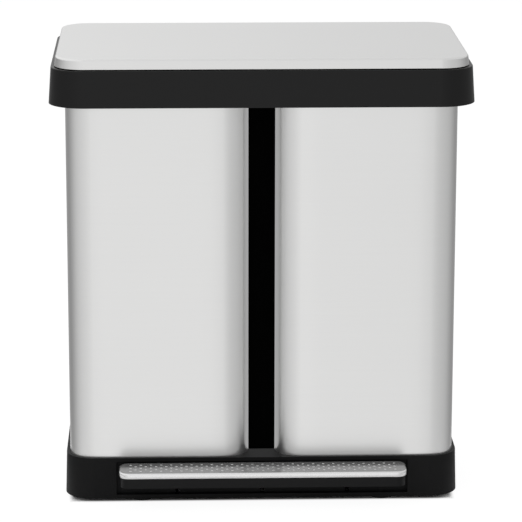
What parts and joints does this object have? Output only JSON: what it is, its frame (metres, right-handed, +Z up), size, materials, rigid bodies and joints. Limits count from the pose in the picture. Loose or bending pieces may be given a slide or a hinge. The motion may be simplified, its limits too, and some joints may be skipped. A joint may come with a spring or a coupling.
{
  "type": "double recycling bin",
  "caption": "Floor-standing recycling bin: twin rounded steel tubes, each with a lift-out bucket, under one soft-closing steel lid opened by a wide front pedal.",
  "frame": {"origin": "on the floor, in the middle of the bounding box seen from above", "axes": "+Z up, the front with the pedal faces -Y, +X is to the right seen from the front"},
  "size_m": [0.585, 0.3714, 0.6325],
  "materials": {
    "satin_steel": "satin stainless sheet, even fine grain",
    "polished_steel": "polished stainless sheet",
    "black_plastic": "moulded, fine texture, semi-matt black",
    "bucket_plastic": "moulded dark grey, semi-matt",
    "grip_plastic": "moulded black, semi-matt",
    "rubber": "moulded black rubber",
    "white_nylon": "natural white bearing plastic",
    "zinc_steel": "bright zinc plate",
    "damper_steel": "black enamel"
  },
  "bodies": {
    "carcass": {"base_plinth": "black_plastic", "rubber_feet": "rubber", "left_steel_shell": "satin_steel", "right_steel_shell": "satin_steel", "front_spine": "black_plastic", "rear_spine": "black_plastic", "top_collar": "black_plastic", "hinge_pins": "zinc_steel", "lower_rod_guide": "white_nylon", "upper_rod_guide": "white_nylon", "damper_cylinder": "damper_steel", "damper_bracket": "zinc_steel", "axle_bushes": "white_nylon"},
    "lid": {"lid_panel": "satin_steel", "lid_liner": "black_plastic", "left_hinge_bracket": "zinc_steel", "right_hinge_bracket": "zinc_steel", "lift_bracket": "zinc_steel", "lid_bumpers": "rubber", "lid_screws": "zinc_steel"},
    "rod": {"lift_rod": "zinc_steel", "rod_clips": "zinc_steel", "damper_piston": "zinc_steel", "damper_yoke": "grip_plastic"},
    "pedal": {"pedal_plate": "polished_steel", "pedal_carrier": "black_plastic", "pedal_bar": "zinc_steel", "left_pedal_arm": "zinc_steel", "right_pedal_arm": "zinc_steel", "pedal_lever": "zinc_steel", "pedal_axle": "zinc_steel", "axle_clips": "zinc_steel", "pedal_screws": "zinc_steel"},
    "left_bucket": {"left_bucket": "bucket_plastic"},
    "right_bucket": {"right_bucket": "bucket_plastic"},
    "left_bail": {"left_bail": "zinc_steel", "left_bail_grip": "grip_plastic"},
    "right_bail": {"right_bail": "zinc_steel", "right_bail_grip": "grip_plastic"}
  },
  "joints": [
    {"name": "lid_hinge", "type": "hinge", "parent": "carcass", "child": "lid", "pos_m": [0, 0.1574, 0.624], "axis": [-1, 0, 0], "range_deg": [0, 76]},
    {"name": "rod_lift", "type": "slide", "parent": "carcass", "child": "rod", "axis": [0, 0, 1], "range_m": [0, 0.0293]},
    {"name": "pedal_pivot", "type": "hinge", "parent": "carcass", "child": "pedal", "pos_m": [0, -0.04275, 0.034], "axis": [1, 0, 0], "range_deg": [0, 9.4]},
    {"name": "left_bucket_lift", "type": "slide", "parent": "carcass", "child": "left_bucket", "axis": [0, 0, 1], "range_m": [0, 0.01]},
    {"name": "left_bail_swing", "type": "hinge", "parent": "left_bucket", "child": "left_bail", "pos_m": [-0.1445, 0.00847, 0.589], "axis": [-1, 0, 0], "range_deg": [0, 5]},
    {"name": "right_bucket_lift", "type": "slide", "parent": "carcass", "child": "right_bucket", "axis": [0, 0, 1], "range_m": [0, 0.01]},
    {"name": "right_bail_swing", "type": "hinge", "parent": "right_bucket", "child": "right_bail", "pos_m": [0.1445, 0.00847, 0.589], "axis": [-1, 0, 0], "range_deg": [0, 5]}
  ],
  "couplings": [
    {"joint": "rod_lift", "follows": "lid_hinge", "m_per_rad": 0.022},
    {"joint": "pedal_pivot", "follows": "lid_hinge", "ratio": 0.12349}
  ]
}
